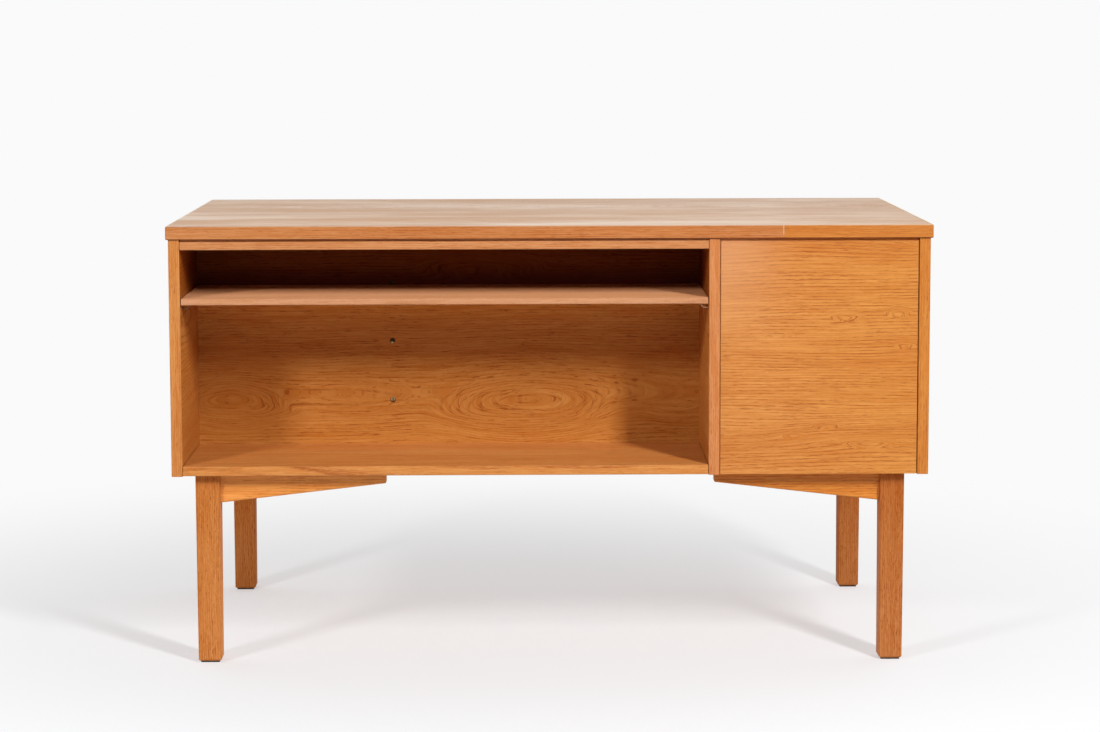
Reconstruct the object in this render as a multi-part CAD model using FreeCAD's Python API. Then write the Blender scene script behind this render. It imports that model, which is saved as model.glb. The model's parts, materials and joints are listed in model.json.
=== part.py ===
import FreeCAD, Part
import math
import os

# Writing desk on square legs: an open bookcase and a closed pedestal end face the visitor at -Y,
# and two stacks of dovetailed drawers with a kneehole between them face the sitter at +Y.
# Millimetres, +Z up, +X along the desk. The origin is on the floor under the middle of the desk.
# Left is -X, as the visitor sees it.

# Desktop
desk_width = 1254.0
desk_depth = 660.0
desk_height = 730.0
desktop_thickness = 22.0
desktop_overhang = 4.0
desktop_lipping_width = 5.0
desktop_corner_radius = 3.0
desktop_edge_ease = 1.2
tongue_depth = 4.0
tongue_thickness = 6.0

# Case: uprights, boards, rails
case_height = 391.0
pedestal_width = 362.5
panel_thickness = 18.0
upright_lipping_thickness = 4.0
board_thickness = 16.0
board_rise = 1.0
board_end_gap = 0.8
rail_height = 17.0
rail_depth = 60.0
board_edge_ease = 1.0

# Shadow groove under the desktop, cut from the top edge of each rail and of the closed end's panel
shadow_groove_depth = 4.0
rail_groove_height = 3.5
end_panel_groove_height = 4.8

# Bookcase and closed pedestal end
bookcase_depth = 236.0
back_thickness = 12.0
back_housing_depth = 6.0
end_panel_thickness = 18.0
end_panel_gap = 1.6
shelf_thickness = 10.2
shelf_clear_height = 266.5
shelf_end_gap = 1.5
shelf_front_setback = 1.0
shelf_rear_gap = 2.0

# Shelf supports
support_inset = 36.0
support_width = 9.0
support_plate = 2.2
support_pad_length = 3.5
support_reach = 17.0
support_drop = 8.5
support_foot_length = 7.5
support_pin_diameter = 5.0
support_pin_depth = 10.0
shelf_seat_gap = 0.2

# Legs, brackets and side rails
leg_top_width = 40.0
leg_foot_width = 38.0
leg_side_inset = 36.0
leg_front_inset = 22.0
leg_edge_radius = 2.0
leg_foot_chamfer = 2.5
bracket_tip_setback = 11.5
bracket_root_height = 50.0
bracket_tip_height = 18.5
bracket_thickness = 20.0
bracket_edge_ease = 1.5
side_rail_height = 45.0
side_rail_thickness = 20.0
tenon_thickness = 10.0
tenon_shoulder = 8.0
tenon_wall = 2.0
glide_width = 31.0
glide_thickness = 2.5
glide_pin_diameter = 4.0
glide_pin_length = 12.0

# Drawers
drawer_gap = 2.0
drawer_side_gap = 1.5
drawer_rear_gap = 8.0
drawer_front_thickness = 18.0
drawer_front_lap = 6.0
drawer_side_thickness = 13.0
drawer_side_lift = 9.0
drawer_side_drop = 16.0
drawer_back_thickness = 10.0
drawer_back_setback = 12.0
drawer_back_drop = 6.0
drawer_back_housing = 4.0
drawer_bottom_thickness = 5.0
drawer_bottom_lift = 8.0
drawer_bottom_groove = 5.0
tail_pitch = 30.0
tail_gap = 6.0
tail_slope_share = 1 / 6
grip_radius = 60.0
grip_depth = 20.0
grip_blend_radius = 8.0
grip_edge_ease = 2.0

# Drawer runners
runner_groove_depth = 7.0
runner_groove_height = 16.0
runner_slack = 0.3
runner_side_slack = 0.5
runner_rear_gap = 2.0
runner_stop_gap = 0.3
runner_end_ease = 3.0

# Dowels and screws
dowel_diameter = 8.0
dowel_upright_bite = 12.0
dowel_board_bite = 18.0
dowel_desktop_bite = 13.0
dowel_wall = 3.0
back_screw_head = 8.0
back_screw_shank = 4.0
back_screw_length = 35.0
back_screw_low = 77.0
back_screw_pitch = 101.3
runner_screw_head = 6.5
runner_screw_shank = 3.2
runner_screw_length = 18.0
frame_screw_head = 9.0
frame_screw_shank = 5.0
frame_screw_grip = 12.0
frame_screw_bite = 11.0
slot_width = 1.0
slot_depth = 0.9
screw_head_share = 0.45

# Small round pieces are drawn with flat sides: more where they show, fewer where they are hidden
hidden_sides = 6
screw_sides = 12

# Clearances, and the overrun of every cut
glue_fit = 0.1
drilled_fit = 0.1
groove_spare = 0.5
overrun = 5.0

# Places along a piece, as shares of its length
two_dowel_shares = (0.18, 0.82)
middle_share = 0.5
runner_screw_shares = (0.12, 0.88)
bracket_screw_shares = (0.3, 0.85)
rail_screw_shares = (0.2, 0.8)

# The drawers of each pedestal, from its lowest row up. A drawer that is two rows high stands twice.
left_rows = ("left_bottom_drawer", "left_middle_drawer", "left_top_drawer")
right_rows = ("right_file_drawer", "right_file_drawer", "right_top_drawer")

# Worked out from the sizes above
drawer_rows = len(left_rows)
half_width = desk_width / 2
half_depth = desk_depth / 2
case_top = desk_height - desktop_thickness
case_low = case_top - case_height
case_side = half_width - desktop_overhang
case_face = half_depth - desktop_overhang
side_inner = case_side - panel_thickness
kneehole_side = case_side - pedestal_width
pedestal_inner = kneehole_side + panel_thickness
board_low = case_low + board_rise
board_high = board_low + board_thickness
rail_low = case_top - rail_height
back_face = -case_face + bookcase_depth
back_rear = back_face + back_thickness
end_panel_rear = -case_face + end_panel_thickness
shelf_low = board_high + shelf_clear_height
leg_side = case_side - leg_side_inset
leg_x = leg_side - leg_top_width / 2
leg_y = case_face - leg_front_inset - leg_top_width / 2
leg_inner_x = leg_x - leg_top_width / 2
leg_inner_y = leg_y - leg_top_width / 2
bracket_length = leg_inner_x - kneehole_side - bracket_tip_setback
tenon_length = leg_top_width / 2 - tenon_thickness / 2 - tenon_wall
front_rear = case_face - drawer_front_thickness
tail_length = drawer_front_thickness - drawer_front_lap
row_height = (rail_low - board_high - drawer_gap * (drawer_rows + 1)) / drawer_rows
runner_thickness = drawer_side_gap + runner_groove_depth - runner_side_slack
runner_height = runner_groove_height - 2 * runner_slack

x_axis = FreeCAD.Vector(1, 0, 0)
y_axis = FreeCAD.Vector(0, 1, 0)
z_axis = FreeCAD.Vector(0, 0, 1)
middle = FreeCAD.Vector(0, 0, 0)

# Every drawer: its name, the pedestal's side of the desk, its lowest row and how many rows it fills
drawers = []
for side, rows in ((-1, left_rows), (1, right_rows)):
    for drawer in dict.fromkeys(rows):
        drawers.append((drawer, side, rows.index(drawer), rows.count(drawer)))


# Shared shapes

def block(x_low, x_high, y_low, y_high, z_low, z_high):
    corner = FreeCAD.Vector(x_low, y_low, z_low)
    return Part.makeBox(x_high - x_low, y_high - y_low, z_high - z_low, corner)


def ring(diameter, z, sides):
    points = []
    for number in range(sides + 1):
        turn = 2 * math.pi * number / sides
        points.append(FreeCAD.Vector(diameter / 2 * math.cos(turn), diameter / 2 * math.sin(turn), z))
    return Part.makePolygon(points)


# A turned piece with flat sides, from its diameters along the direction that it points in
def turned(sections, sides, start, direction):
    body = Part.makeLoft([ring(diameter, along, sides) for diameter, along in sections], True, True)
    body.Placement = FreeCAD.Placement(start, FreeCAD.Rotation(z_axis, direction))
    return body


def rod(diameter, length, start, direction, sides=hidden_sides):
    return turned([(diameter, 0), (diameter, length)], sides, start, direction)


def prism(points, push):
    outline = Part.makePolygon(points + points[:1])
    return Part.Face(outline).extrude(push)


def on_x(shape, side):
    return shape if side > 0 else shape.mirror(middle, x_axis)


def on_y(shape, side):
    return shape if side > 0 else shape.mirror(middle, y_axis)


def edge_runs(edge, axis):
    start = edge.Vertexes[0].Point
    end = edge.Vertexes[-1].Point
    run = end.sub(start)
    return run.Length > 0 and abs(run.dot(axis)) > glue_fit and run.cross(axis).Length < glue_fit


def eased(shape, size, axis, belongs):
    edges = [e for e in shape.Edges if edge_runs(e, axis) and belongs(e.CenterOfMass)]
    return shape.makeChamfer(size, edges)


def drilled(shape, holes):
    reach = [hole for hole in holes if hole.BoundBox.intersect(shape.BoundBox)]
    return shape.cut(reach) if reach else shape


def save(name, pieces):
    shape = pieces if isinstance(pieces, Part.Shape) else Part.makeCompound(pieces)
    shape.exportStep(f"parts/{name}.step")


def at_share(low, high, share):
    return low + (high - low) * share


# A countersunk screw points along its direction, with the top of its head at the start
def screw(head, shank, length, start, direction, sides=hidden_sides, fit=0):
    sections = [
        (head + 2 * fit, 0),
        (shank + 2 * fit, head * screw_head_share),
        (shank + 2 * fit, length + fit),
    ]
    return turned(sections, sides, start, direction)


# Dowels and screws: each list is made once as solids and once, a little larger, as holes

# The desktop's dowels stand near each upright's face towards the middle, clear of the lippings
def desktop_dowels(fit):
    dowels = []
    offset = dowel_wall + dowel_diameter / 2
    uprights = [
        (-side_inner - offset, -case_face),
        (-kneehole_side - offset, back_rear),
        (kneehole_side + offset, -case_face),
        (side_inner + offset, -case_face),
    ]
    for x, y_low in uprights:
        for share in two_dowel_shares:
            y = at_share(y_low, case_face, share)
            start = FreeCAD.Vector(x, y, case_top - dowel_upright_bite - fit)
            length = dowel_upright_bite + dowel_desktop_bite + 2 * fit
            dowels.append(rod(dowel_diameter + 2 * fit, length, start, z_axis))
    return dowels


def board_places():
    places = []
    bottoms = [
        (-side_inner, kneehole_side, -case_face, back_face),
        (-side_inner, -pedestal_inner, back_rear, case_face),
        (pedestal_inner, side_inner, end_panel_rear, case_face),
    ]
    for x_low, x_high, y_low, y_high in bottoms:
        for share in two_dowel_shares:
            places.append((x_low, x_high, at_share(y_low, y_high, share), board_low + board_thickness / 2))
    rail_y = case_face - rail_depth / 2
    rail_z = rail_low + rail_height / 2
    places.append((-side_inner, kneehole_side, -rail_y, rail_z))
    places.append((-side_inner, -pedestal_inner, rail_y, rail_z))
    places.append((pedestal_inner, side_inner, rail_y, rail_z))
    for share in two_dowel_shares:
        z = at_share(board_low, case_top, share)
        places.append((pedestal_inner, side_inner, -case_face + end_panel_thickness / 2, z))
    return places


def board_dowels(fit):
    dowels = []
    length = dowel_upright_bite + dowel_board_bite + 2 * fit
    for x_low, x_high, y, z in board_places():
        for x in (x_low - dowel_upright_bite - fit, x_high + dowel_upright_bite + fit - length):
            dowels.append(rod(dowel_diameter + 2 * fit, length, FreeCAD.Vector(x, y, z), x_axis))
    return dowels


# The brass screws that show in the bookcase, with a slot across each head
def back_screws(fit=0):
    x = -kneehole_side - panel_thickness / 2
    screws = []
    z = board_high + back_screw_low
    while z < case_top - back_screw_head:
        start = FreeCAD.Vector(x, back_face, z)
        shape = screw(back_screw_head, back_screw_shank, back_screw_length, start, y_axis, screw_sides, fit)
        if not fit:
            half = slot_width / 2
            shape = shape.cut(block(
                x - back_screw_head, x + back_screw_head, back_face - overrun, back_face + slot_depth,
                z - half, z + half))
        screws.append(shape)
        z += back_screw_pitch
    return screws


def frame_screw(x, y, fit):
    start = FreeCAD.Vector(x, y, board_low - frame_screw_grip)
    length = frame_screw_grip + frame_screw_bite
    return screw(frame_screw_head, frame_screw_shank, length, start, z_axis, hidden_sides, fit)


def frame_screw_places():
    places = []
    for side_x in (-1, 1):
        for side_y in (-1, 1):
            for share in bracket_screw_shares:
                x = leg_inner_x - bracket_length * share
                places.append((side_x * x, side_y * leg_y))
        for share in rail_screw_shares:
            places.append((side_x * leg_x, at_share(-leg_inner_y, leg_inner_y, share)))
    return places


# A screw's hole in the underframe: its own shape, with a straight counterbore below the head
def frame_holes():
    holes = []
    for x, y in frame_screw_places():
        holes.append(frame_screw(x, y, drilled_fit))
        start = FreeCAD.Vector(x, y, board_low - frame_screw_grip)
        depth = bracket_root_height + side_rail_height
        holes.append(rod(frame_screw_head + 2 * drilled_fit, depth, start, -z_axis))
    return holes


# Desktop: a veneered panel in a mitred frame of tongued solid lippings

def desktop_frame():
    frame = block(-half_width, half_width, -half_depth, half_depth, case_top, desk_height)
    frame = frame.makeFillet(desktop_corner_radius, [e for e in frame.Edges if edge_runs(e, z_axis)])
    rims = [e for face in frame.Faces if abs(face.normalAt(0, 0).z) > middle_share for e in face.Edges]
    frame = frame.makeChamfer(desktop_edge_ease, rims)
    inner_x = half_width - desktop_lipping_width
    inner_y = half_depth - desktop_lipping_width
    frame = frame.cut(
        block(-inner_x, inner_x, -inner_y, inner_y, case_top - overrun, desk_height + overrun))
    return frame.fuse(desktop_tongue(0))


# The tongue runs round inside the frame, and the same shape, a little larger, is the panel's groove
def desktop_tongue(fit):
    outer_x = half_width - desktop_lipping_width
    outer_y = half_depth - desktop_lipping_width
    depth = tongue_depth + (groove_spare if fit else 0)
    z_low = case_top + (desktop_thickness - tongue_thickness) / 2 - fit
    z_high = z_low + tongue_thickness + 2 * fit
    ring = block(-outer_x, outer_x, -outer_y, outer_y, z_low, z_high)
    core_x = outer_x - depth
    core_y = outer_y - depth
    return ring.cut(block(-core_x, core_x, -core_y, core_y, z_low - overrun, z_high + overrun))


# The mitred quarter of the frame towards -Y, as wide at the back as the tongue is deep
def mitre_wedge(half_length, half_reach):
    depth = desktop_lipping_width + tongue_depth + overrun
    points = [
        FreeCAD.Vector(-half_length, -half_reach, case_top),
        FreeCAD.Vector(half_length, -half_reach, case_top),
        FreeCAD.Vector(half_length - depth, -half_reach + depth, case_top),
        FreeCAD.Vector(-half_length + depth, -half_reach + depth, case_top),
    ]
    return prism(points, z_axis * desktop_thickness)


def save_desktop():
    frame = desktop_frame()
    front = mitre_wedge(half_width, half_depth)
    side = mitre_wedge(half_depth, half_width)
    side.rotate(middle, z_axis, -90)
    save("desktop_lipping_front", frame.common(front))
    save("desktop_lipping_back", frame.common(on_y(front, -1)))
    save("desktop_lipping_left", frame.common(side))
    save("desktop_lipping_right", frame.common(on_x(side, -1)))
    core_x = half_width - desktop_lipping_width
    core_y = half_depth - desktop_lipping_width
    panel = block(-core_x, core_x, -core_y, core_y, case_top, desk_height)
    panel = panel.cut(desktop_tongue(glue_fit))
    save("desktop_panel", drilled(panel, desktop_dowels(drilled_fit)))


# Uprights: veneered panels with a solid lipping on each edge that shows

def upright(x_low, y_low, y_high):
    holes = desktop_dowels(drilled_fit) + board_dowels(drilled_fit) + support_pins(drilled_fit)
    holes += back_screws(drilled_fit) + runner_screws(drilled_fit)
    panel = block(x_low, x_low + panel_thickness, y_low, y_high, case_low, case_top)
    return drilled(panel, holes)


# The back panel's ends are let into the left side panel and the divider
def back_panel_block(fit):
    reach = back_housing_depth - (0 if fit else groove_spare)
    return block(
        -side_inner - reach, kneehole_side + reach,
        back_face - fit, back_rear + fit,
        board_low - fit, case_top)


# The uprights end a little below the boards, so a bracket that passes under one is cut back there
def upright_feet():
    feet = []
    for x_low, y_low in ((-pedestal_inner, back_rear), (kneehole_side, -case_face)):
        feet.append(block(
            x_low - glue_fit, x_low + panel_thickness + glue_fit, y_low, case_face,
            case_low - glue_fit, case_top))
    return feet


def save_uprights():
    front_edge = -case_face + upright_lipping_thickness
    rear_edge = case_face - upright_lipping_thickness
    housing = back_panel_block(glue_fit)
    save("side_panel_left", upright(-case_side, front_edge, rear_edge).cut(housing))
    save("side_panel_right", upright(side_inner, front_edge, rear_edge))
    save("divider_panel", upright(kneehole_side, front_edge, rear_edge).cut(housing))
    save("left_pedestal_side", upright(-pedestal_inner, back_rear, rear_edge))


def upright_lipping(x_low, side_y):
    lipping = block(
        x_low, x_low + panel_thickness, case_face - upright_lipping_thickness, case_face, case_low, case_top)
    lipping = eased(lipping, board_edge_ease, z_axis, lambda point: point.y > case_face - glue_fit)
    return on_y(lipping, side_y)


def save_upright_lippings():
    front = [upright_lipping(x, -1) for x in (-case_side, kneehole_side, side_inner)]
    rear = [upright_lipping(x, 1) for x in (-case_side, -pedestal_inner, kneehole_side, side_inner)]
    save("upright_edge_lippings", front + rear)


# Boards and rails between the uprights

# A bottom board's edges are eased where it shows, at the visitor's face (-1) or the sitter's (1)
def bottom_board(x_low, x_high, y_low, y_high, side_y):
    board = block(x_low + board_end_gap, x_high - board_end_gap, y_low, y_high, board_low, board_high)
    board = eased(board, board_edge_ease, x_axis, lambda point: point.y * side_y > case_face - glue_fit)
    frame_screws = [frame_screw(x, y, drilled_fit) for x, y in frame_screw_places()]
    return drilled(board, board_dowels(drilled_fit) + frame_screws)


# The groove runs past both ends of what it is cut from, which has its face at +Y
def shadow_groove(x_low, x_high, height):
    return block(
        x_low - overrun, x_high + overrun,
        case_face - shadow_groove_depth, case_face + overrun,
        case_top - height, case_top + overrun)


def top_rail(x_low, x_high, side_y):
    rail = block(
        x_low + board_end_gap, x_high - board_end_gap, case_face - rail_depth, case_face, rail_low, case_top)
    rail = rail.cut(shadow_groove(x_low, x_high, rail_groove_height))
    rail = eased(rail, board_edge_ease, x_axis, lambda point: point.y > case_face - glue_fit)
    return drilled(on_y(rail, side_y), board_dowels(drilled_fit))


def end_panel():
    panel = block(
        pedestal_inner + board_end_gap, side_inner - end_panel_gap,
        -case_face, end_panel_rear, board_low, case_top)
    panel = panel.cut(on_y(shadow_groove(pedestal_inner, side_inner, end_panel_groove_height), -1))
    panel = eased(panel, board_edge_ease, z_axis, lambda point: point.y < -case_face + glue_fit)
    return drilled(panel, board_dowels(drilled_fit))


def save_boards():
    save("bookcase_bottom", bottom_board(-side_inner, kneehole_side, -case_face, back_face, -1))
    save("left_pedestal_bottom", bottom_board(-side_inner, -pedestal_inner, back_rear, case_face, 1))
    save("right_pedestal_bottom", bottom_board(pedestal_inner, side_inner, end_panel_rear, case_face, 1))
    save("bookcase_top_rail", top_rail(-side_inner, kneehole_side, -1))
    save("pedestal_rails", [
        top_rail(-side_inner, -pedestal_inner, 1),
        top_rail(pedestal_inner, side_inner, 1),
    ])
    save("pedestal_end_panel", end_panel())
    save("bookcase_back_panel", drilled(back_panel_block(0), back_screws(drilled_fit)))


def save_shelf():
    shelf = block(
        -side_inner + shelf_end_gap, kneehole_side - shelf_end_gap,
        -case_face + shelf_front_setback, back_face - shelf_rear_gap,
        shelf_low, shelf_low + shelf_thickness)
    front = -case_face + shelf_front_setback
    shelf = eased(shelf, board_edge_ease, x_axis, lambda point: point.y < front + glue_fit)
    save("bookcase_shelf", shelf)


# Shelf supports: a pin let into the upright, with a bent plate that rises to a pad under the shelf

def support_places():
    front = -case_face + support_inset
    rear = back_face - support_inset
    return [(x, side, y) for x, side in ((-side_inner, 1), (kneehole_side, -1)) for y in (front, rear)]


def support_pins(fit):
    pins = []
    z = shelf_low - shelf_seat_gap - support_drop
    for x, side, y in support_places():
        start = FreeCAD.Vector(x - side * (support_pin_depth + fit), y, z)
        length = support_pin_depth + (fit or support_plate)
        pins.append(rod(support_pin_diameter + 2 * fit, length, start, x_axis * side))
    return pins


def support_plate_shape(x, side, y):
    pad_top = shelf_low - shelf_seat_gap
    foot_top = pad_top - support_drop + support_plate / 2
    profile = [
        (0, foot_top),
        (support_foot_length, foot_top),
        (support_reach - support_pad_length, pad_top),
        (support_reach, pad_top),
        (support_reach, pad_top - support_plate),
        (support_reach - support_pad_length + support_plate / 2, pad_top - support_plate),
        (support_foot_length + support_plate / 2, foot_top - support_plate),
        (0, foot_top - support_plate),
    ]
    points = [FreeCAD.Vector(x + side * along, y - support_width / 2, z) for along, z in profile]
    return prism(points, y_axis * support_width)


def save_shelf_supports():
    plates = [support_plate_shape(x, side, y) for x, side, y in support_places()]
    save("shelf_supports", [pin.fuse(plate) for pin, plate in zip(support_pins(0), plates)])


# Legs: square, slightly tapered, mortised for the bracket and the side rail

def leg_section(width, z):
    half = width / 2 - leg_edge_radius
    corners = [(-half, -half), (half, -half), (half, half), (-half, half), (-half, -half)]
    core = Part.makePolygon([FreeCAD.Vector(leg_x + x, leg_y + y, z) for x, y in corners])
    return core.makeOffset2D(leg_edge_radius)


def leg():
    sections = [
        leg_section(leg_foot_width - 2 * leg_foot_chamfer, glide_thickness),
        leg_section(leg_foot_width, glide_thickness + leg_foot_chamfer),
        leg_section(leg_top_width, board_low),
    ]
    post = Part.makeLoft(sections, True, True)
    return post.cut([bracket_tenon(drilled_fit), side_rail_tenon(drilled_fit), glide_pin(drilled_fit)])


def bracket_tenon(fit):
    depth = tenon_length + (groove_spare if fit else 0)
    half = tenon_thickness / 2 + fit
    z_low = board_low - bracket_root_height + tenon_shoulder - fit
    z_high = board_low - tenon_shoulder + fit
    return block(leg_inner_x - fit, leg_inner_x + depth, leg_y - half, leg_y + half, z_low, z_high)


def side_rail_tenon(fit):
    depth = tenon_length + (groove_spare if fit else 0)
    half = tenon_thickness / 2 + fit
    z_low = board_low - side_rail_height + tenon_shoulder - fit
    z_high = board_low - tenon_shoulder + fit
    return block(leg_x - half, leg_x + half, leg_inner_y - fit, leg_inner_y + depth, z_low, z_high)


def bracket():
    tip_x = leg_inner_x - bracket_length
    y = leg_y - bracket_thickness / 2
    points = [
        FreeCAD.Vector(leg_inner_x, y, board_low),
        FreeCAD.Vector(tip_x, y, board_low),
        FreeCAD.Vector(tip_x, y, board_low - bracket_tip_height),
        FreeCAD.Vector(leg_inner_x, y, board_low - bracket_root_height),
    ]
    shape = prism(points, y_axis * bracket_thickness)
    shape = shape.makeChamfer(bracket_edge_ease, [e for e in shape.Edges if is_lower_edge(e)])
    return shape.fuse(bracket_tenon(0))


# The long edges of the slope, and the short one across its tip
def is_lower_edge(edge):
    place = edge.CenterOfMass
    across_tip = edge_runs(edge, y_axis) and place.x < leg_inner_x - bracket_length + glue_fit
    sloped = abs(edge.Vertexes[0].Z - edge.Vertexes[-1].Z) > 0 and not edge_runs(edge, z_axis)
    return (sloped or across_tip) and place.z < board_low - glue_fit


def side_rail():
    half = side_rail_thickness / 2
    low = board_low - side_rail_height
    rail = block(leg_x - half, leg_x + half, -leg_inner_y, leg_inner_y, low, board_low)
    rail = eased(rail, bracket_edge_ease, y_axis, lambda point: point.z < low + glue_fit)
    tenon = side_rail_tenon(0)
    return rail.fuse([tenon, on_y(tenon, -1)])


def glide_pin(fit):
    start = FreeCAD.Vector(leg_x, leg_y, glide_thickness - fit)
    return rod(glide_pin_diameter + 2 * fit, glide_pin_length + 2 * fit, start, z_axis)


# A glide is a square pad with its corners rounded like the leg's, on a pin
def glide():
    pad = Part.Face(leg_section(glide_width, 0)).extrude(z_axis * glide_thickness)
    return pad.fuse(glide_pin(0))


def save_underframe():
    cuts = frame_holes() + upright_feet()
    names_x = {-1: "left", 1: "right"}
    names_y = {-1: "front", 1: "rear"}
    glides = []
    for side_x in (-1, 1):
        for side_y in (-1, 1):
            place = f"{names_y[side_y]}_{names_x[side_x]}"
            save(f"leg_{place}", on_y(on_x(leg(), side_x), side_y))
            save(f"leg_bracket_{place}", drilled(on_y(on_x(bracket(), side_x), side_y), cuts))
            glides.append(on_y(on_x(glide(), side_x), side_y))
        save(f"underframe_rail_{names_x[side_x]}", drilled(on_x(side_rail(), side_x), cuts))
    save("leg_glides", glides)
    save("underframe_screws", [frame_screw(x, y, 0) for x, y in frame_screw_places()])


# Drawers: half-blind dovetails at the front, a housed back, a grooved-in bottom, grooved sides

def front_span(row, rows_high):
    z_low = board_high + drawer_gap + row * (row_height + drawer_gap)
    z_high = z_low + rows_high * (row_height + drawer_gap) - drawer_gap
    return z_low, z_high


def side_span(row, rows_high):
    z_low, z_high = front_span(row, rows_high)
    return z_low + drawer_side_lift, z_high - drawer_side_drop


def drawer_rear(side):
    return (back_rear if side < 0 else end_panel_rear) + drawer_rear_gap


# The clear width between the uprights of a pedestal, narrowed by the gap at each side of a drawer
def drawer_x(side):
    low = pedestal_inner + drawer_side_gap
    high = side_inner - drawer_side_gap
    return (low, high) if side > 0 else (-high, -low)


# The tails point to +Y and widen towards their tips
def tails(x_low, x_high, z_low, z_high, fit):
    count = max(2, round((z_high - z_low) / tail_pitch))
    pitch = (z_high - z_low) / count
    tip = (pitch - tail_gap) / 2 + fit
    root = tip - tail_length * tail_slope_share
    shapes = []
    for number in range(count):
        z = z_low + pitch * (number + middle_share)
        points = [
            FreeCAD.Vector(x_low, front_rear - fit, z - root),
            FreeCAD.Vector(x_low, front_rear + tail_length, z - tip),
            FreeCAD.Vector(x_low, front_rear + tail_length, z + tip),
            FreeCAD.Vector(x_low, front_rear - fit, z + root),
        ]
        shapes.append(prism(points, x_axis * (x_high - x_low)))
    return shapes


def bottom_block(side, row, rows_high, fit):
    x_low, x_high = drawer_x(side)
    inset = drawer_side_thickness - drawer_bottom_groove - fit
    z_low = side_span(row, rows_high)[0] + drawer_bottom_lift - fit
    z_high = z_low + drawer_bottom_thickness + 2 * fit
    y_high = front_rear + drawer_bottom_groove + fit
    return block(x_low + inset, x_high - inset, drawer_rear(side) - fit, y_high, z_low, z_high)


def back_block(side, row, rows_high, fit):
    x_low, x_high = drawer_x(side)
    z_low, z_high = side_span(row, rows_high)
    inset = drawer_side_thickness - drawer_back_housing - fit
    y_low = drawer_rear(side) + drawer_back_setback
    floor = z_low + drawer_bottom_lift + drawer_bottom_thickness + glue_fit
    top = z_high + overrun if fit else z_high - drawer_back_drop
    return block(
        x_low + inset, x_high - inset, y_low - fit, y_low + drawer_back_thickness + fit, floor - fit, top)


# The finger grip: a scoop in the front's top edge that blends into it with a small round at each end
def grip_cutter(x, z_top):
    reach = grip_radius + grip_blend_radius
    rise = grip_radius - grip_depth
    half = math.sqrt(reach ** 2 - (rise + grip_blend_radius) ** 2)
    touch_x = half * grip_radius / reach
    touch_z = z_top + rise - (rise + grip_blend_radius) * grip_radius / reach
    turn = math.asin(half / reach) / 2
    blend_x = half - grip_blend_radius * math.sin(turn)
    blend_z = z_top - grip_blend_radius + grip_blend_radius * math.cos(turn)
    y = front_rear - overrun

    def point(side_x, z):
        return FreeCAD.Vector(x + side_x, y, z)

    edges = [
        Part.Arc(point(-half, z_top), point(-blend_x, blend_z), point(-touch_x, touch_z)).toShape(),
        Part.Arc(point(-touch_x, touch_z), point(0, z_top - grip_depth), point(touch_x, touch_z)).toShape(),
        Part.Arc(point(touch_x, touch_z), point(blend_x, blend_z), point(half, z_top)).toShape(),
        Part.makeLine(point(half, z_top), point(half, z_top + overrun)),
        Part.makeLine(point(half, z_top + overrun), point(-half, z_top + overrun)),
        Part.makeLine(point(-half, z_top + overrun), point(-half, z_top)),
    ]
    face = Part.Face(Part.Wire(edges))
    return face.extrude(y_axis * (drawer_front_thickness + 2 * overrun))


def drawer_front(side, row, rows_high):
    x_low, x_high = drawer_x(side)
    z_low, z_high = front_span(row, rows_high)
    front = block(x_low, x_high, front_rear, case_face, z_low, z_high)
    front = front.cut(grip_cutter((x_low + x_high) / 2, z_high))
    scoop = [
        e for e in front.Edges
        if isinstance(e.Curve, Part.Circle) and e.CenterOfMass.y > case_face - glue_fit
    ]
    front = front.makeChamfer(grip_edge_ease, scoop)
    side_low, side_high = side_span(row, rows_high)
    inner_low = x_low + drawer_side_thickness
    inner_high = x_high - drawer_side_thickness
    sockets = tails(x_low - overrun, inner_low, side_low, side_high, glue_fit)
    sockets += tails(inner_high, x_high + overrun, side_low, side_high, glue_fit)
    return front.cut(sockets + [bottom_block(side, row, rows_high, glue_fit)])


def drawer_side(side, row, rows_high, end):
    low, high = drawer_x(side)
    z_low, z_high = side_span(row, rows_high)
    x_low = low if end < 0 else high - drawer_side_thickness
    x_high = x_low + drawer_side_thickness
    board = block(x_low, x_high, drawer_rear(side), front_rear, z_low, z_high)
    board = board.fuse(tails(x_low, x_high, z_low, z_high, 0)).removeSplitter()
    groove_z = (z_low + z_high) / 2
    groove = block(
        x_low - overrun if end < 0 else x_high - runner_groove_depth,
        x_low + runner_groove_depth if end < 0 else x_high + overrun,
        drawer_rear(side) - overrun, front_rear,
        groove_z - runner_groove_height / 2, groove_z + runner_groove_height / 2)
    return board.cut([
        groove,
        bottom_block(side, row, rows_high, glue_fit),
        back_block(side, row, rows_high, glue_fit),
    ])


def save_drawer(name, side, row, rows_high):
    save(f"{name}_front", drawer_front(side, row, rows_high))
    save(f"{name}_side_left", drawer_side(side, row, rows_high, -1))
    save(f"{name}_side_right", drawer_side(side, row, rows_high, 1))
    save(f"{name}_back", back_block(side, row, rows_high, 0))
    save(f"{name}_bottom", bottom_block(side, row, rows_high, 0))


# Runners: hardwood strips on the pedestal walls, which the drawer sides' grooves ride on. Their front
# ends stop the closed drawer, just behind its front.

def runner_places():
    places = []
    for name, side, row, rows_high in drawers:
        y_low = drawer_rear(side) - drawer_rear_gap + runner_rear_gap
        z = sum(side_span(row, rows_high)) / 2
        for wall, inward in ((pedestal_inner, 1), (side_inner, -1)):
            places.append((side * wall, side * inward, y_low, front_rear - runner_stop_gap, z))
    return places


def runner(wall, inward, y_low, y_high, z):
    x_low, x_high = sorted((wall, wall + inward * runner_thickness))
    half = runner_height / 2
    strip = block(x_low, x_high, y_low, y_high, z - half, z + half)
    strip = eased(strip, runner_end_ease, x_axis, lambda point: point.y > y_high - glue_fit)
    return drilled(strip, runner_screws(drilled_fit))


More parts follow.
